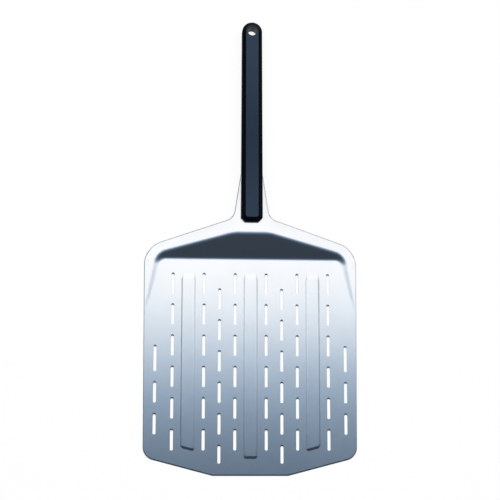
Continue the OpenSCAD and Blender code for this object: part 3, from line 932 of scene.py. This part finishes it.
def neckCutter():
    bm = bmesh.new()
    gap, sheet = handle["tangClearance"], blade["sheet"]
    front, back = handleY - handle["pocketAhead"], exitY + handle["pocketBack"]
    neckHalf, tangHalf = blade["exitHalf"], blade["tangHalf"] + gap
    right = [(flankHalf(front) + gap, front), (neckHalf + gap, exitY),
             (neckHalf + handle["pocketSide"], back), (tangHalf, back), (tangHalf, tangEnd + gap)]
    corners = right + [(-x, y) for x, y in reversed(right)]
    face = bm.faces.new([bm.verts.new((x, y, handle["parting"] - sheet)) for x, y in corners])
    lifted = addedVerts(bmesh.ops.extrude_face_region(bm, geom=[face], use_keep_orig=True))
    bmesh.ops.translate(bm, verts=lifted, vec=(0, 0, sheet + past))
    return bm


def makeLowerShell():
    cutters = [hangCutter(), neckCutter()]
    low, parting = handle["low"], handle["parting"]
    for y in screws["places"].values():
        for radius, start, end in ((screws["boreRadius"], low - past, screws["seat"]),
                                   (screws["shankRadius"], low, parting + past)):
            bm = bmesh.new()
            addCylinder(bm, 0, y, start, end, radius)
            cutters.append(bm)
    cutters += coreCutters(low + handle["coreWall"], parting + past)[1:]
    bm = subtract(shellBody(False), cutters)
    toMetres(bm)
    finishPiece("handleLowerShell", bm, [mattPlastic], "handle_lower_shell")


makeUpperShell()
makeLowerShell()


# button head screws, seen in the stepped holes of the underside
def makeScrew(place):
    bm = bmesh.new()
    seat, top = screws["seat"], screws["seat"] + screws["length"]
    under, rim = seat - screws["headHeight"], seat - screws["headRim"]
    flat, head, shank = screws["headFlat"], screws["headRadius"], screws["radius"]
    bendOut, bendUp = screws["headBend"]
    bulgeIn, bulgeDown = screws["headBulge"]
    edge, fillet, chamfer = screws["headRound"], screws["shankFillet"], screws["tipChamfer"]
    profile = [(0, under), (flat, under), (flat + bendOut, under + bendUp),
               (head - bulgeIn, rim - bulgeDown), (head, rim), (head, seat - edge), (head - edge, seat),
               (shank + fillet, seat), (shank, seat + fillet), (shank, top - chamfer), (shank - chamfer, top),
               (0, top)]
    y = screws["places"][place]
    spinProfile(bm, profile, y, 36)
    hexRadius, leadOut = screws["hexRadius"], screws["leadOut"]
    socket = bmesh.new()
    addCylinder(socket, 0, y, under - past, under + screws["hexDepth"], hexRadius / math.cos(math.pi / 6),
                segments=6)
    lead = bmesh.new()
    addCylinder(lead, 0, y, under - screws["leadGap"], under + leadOut, hexRadius + leadOut,
                hexRadius - screws["leadIn"], segments=36)
    bm = subtract(bm, [socket, lead])
    toMetres(bm)
    finishPiece(place + "ButtonScrew", bm, [screwSteel], place + "_screw")


for place in screws["places"]:
    makeScrew(place)
    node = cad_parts[place + "_insert"]
    node.data.materials.clear()
    node.data.materials.append(insertBrass)
print("screws and inserts made")


# studio: pale floor, a long softbox overhead that fades out towards the front, an even fill
studio = {
    "floorHalf": 8.0, "floorTurnUp": 0.6, "floorDrop": 0.0004,
    "floorColour": (0.93, 0.935, 0.94), "floorRough": 0.9, "floorWhite": 0.9,
    "boxHeight": 1.6, "boxCore": (-1.5, 1.5), "boxSpread": (-2.6, 3.72), "spreadLift": 0.01,
    "spreadShare": (0.59, 0.64, 0.68), "wider": {0.44: 1.45, 0.12: 1.1},
    "box": (  # from, to, brightness
        (0.68, 1.60, (1.36, 1.25, 1.14)), (0.44, 0.68, (0.725, 0.66, 0.60)),
        (0.12, 0.44, (1.335, 1.205, 1.085)),
        (0.04, 0.12, (1.015, 1.000, 0.965)), (-0.04, 0.04, (0.700, 0.740, 0.776)),
        (-0.12, -0.04, (0.410, 0.489, 0.563)), (-0.20, -0.12, (0.233, 0.309, 0.394)),
        (-0.30, -0.20, (0.165, 0.204, 0.261)), (-0.44, -0.30, (0.090, 0.121, 0.151)),
        (-0.70, -0.44, (0.020, 0.035, 0.060)),
    ),
    "fillHeight": 3.0, "fillSize": 4.0, "fillLevel": (1.75, 1.75, 1.75),
    "overhead": (0.045, 0.055, 0.070), "band": (0.060, 0.070, 0.085), "low": (0.17, 0.185, 0.205),
    "front": (0.043, 0.053, 0.064), "behind": (0.19, 0.205, 0.225), "tilt": -4.5,
    "bandEdge": (0.30, 0.42), "overheadEdge": (0.62, 0.80),  # up the sky
    "frontEdge": (-0.30, -0.55), "behindEdge": (0.35, 0.60),  # along it
}


def addLamp(name, across, along, height, level, inGloss):
    data = bpy.data.lights.new(name, "AREA")
    data.shape = "RECTANGLE"
    data.size, data.size_y = across[1] - across[0], along[1] - along[0]
    data.energy = max(level) * math.pi * data.size * data.size_y
    data.color = [part / max(level) for part in level]
    lamp = bpy.data.objects.new(name, data)
    lamp.location = (sum(across) / 2, sum(along) / 2, height)
    lamp.visible_camera = False
    lamp.visible_glossy = inGloss
    scene.collection.objects.link(lamp)


def makeFloor():
    material = bpy.data.materials.new("studioFloor")
    material.use_nodes = True
    tree = material.node_tree
    shader = tree.nodes["Principled BSDF"]
    shader.inputs["Base Color"].default_value = studio["floorColour"] + (1.0,)
    shader.inputs["Roughness"].default_value = studio["floorRough"]
    glow = setInputs(addNode(tree, "ShaderNodeEmission"), Strength=1.0)
    glow.inputs["Color"].default_value = (1, 1, 1, 1)
    path = addNode(tree, "ShaderNodeLightPath")
    seen = mathNode(tree, "MAXIMUM", path.outputs["Is Camera Ray"], path.outputs["Is Glossy Ray"])
    seen = mathNode(tree, "MAXIMUM", seen, path.outputs["Is Transmission Ray"])
    mix = addNode(tree, "ShaderNodeMixShader")
    tree.links.new(mathNode(tree, "MULTIPLY", seen, studio["floorWhite"]), mix.inputs[0])
    tree.links.new(shader.outputs[0], mix.inputs[1])
    tree.links.new(glow.outputs[0], mix.inputs[2])
    tree.links.new(mix.outputs[0], tree.nodes["Material Output"].inputs["Surface"])
    bm = bmesh.new()
    bmesh.ops.create_grid(bm, x_segments=2, y_segments=2, size=studio["floorHalf"])
    rim = addedVerts(bmesh.ops.extrude_edge_only(bm, edges=[e for e in bm.edges if e.is_boundary]))
    bmesh.ops.translate(bm, verts=rim, vec=(0, 0, studio["floorTurnUp"]))
    mesh = bpy.data.meshes.new("studioFloor")
    bm.to_mesh(mesh)
    bm.free()
    mesh.materials.append(material)
    floor = bpy.data.objects.new("studioFloor", mesh)
    floor.location.z = -studio["floorDrop"]
    scene.collection.objects.link(floor)


def makeWorld():
    world = bpy.data.worlds.new("studioWorld")
    world.use_nodes = True
    scene.world = world
    tree = world.node_tree
    sky = tree.nodes["Background"]
    way = addNode(tree, "ShaderNodeTexCoord").outputs["Generated"]
    tilt = addNode(tree, "ShaderNodeVectorRotate", rotation_type="Y_AXIS")
    tilt.inputs["Angle"].default_value = math.radians(studio["tilt"])
    tree.links.new(way, tilt.inputs["Vector"])
    split = addNode(tree, "ShaderNodeSeparateXYZ")
    tree.links.new(tilt.outputs[0], split.inputs[0])
    band = mapRange(tree, split.outputs["Z"], *studio["bandEdge"])
    over = mapRange(tree, split.outputs["Z"], *studio["overheadEdge"])
    ahead = mapRange(tree, split.outputs["Y"], *studio["frontEdge"])
    behind = mapRange(tree, split.outputs["Y"], *studio["behindEdge"])
    colour = mixColour(tree, ahead, studio["band"], studio["front"])
    colour = mixColour(tree, behind, colour, studio["behind"])
    colour = mixColour(tree, band, studio["low"], colour)
    tree.links.new(mixColour(tree, over, colour, studio["overhead"]), sky.inputs["Color"])


makeFloor()
makeWorld()
for low, high, level in studio["box"]:
    wider = studio["wider"].get(low, 1.0)
    spread = [c * share * wider for c, share in zip(level, studio["spreadShare"])]
    core = [c - part for c, part in zip(level, spread)]
    height = studio["boxHeight"]
    addLamp("softbox", studio["boxCore"], (low, high), height, core, True)
    addLamp("softbox", studio["boxSpread"], (low, high), height + studio["spreadLift"], spread, True)
fill = (-studio["fillSize"] / 2, studio["fillSize"] / 2)
addLamp("evenFill", fill, fill, studio["fillHeight"], studio["fillLevel"], False)
print("studio lit")
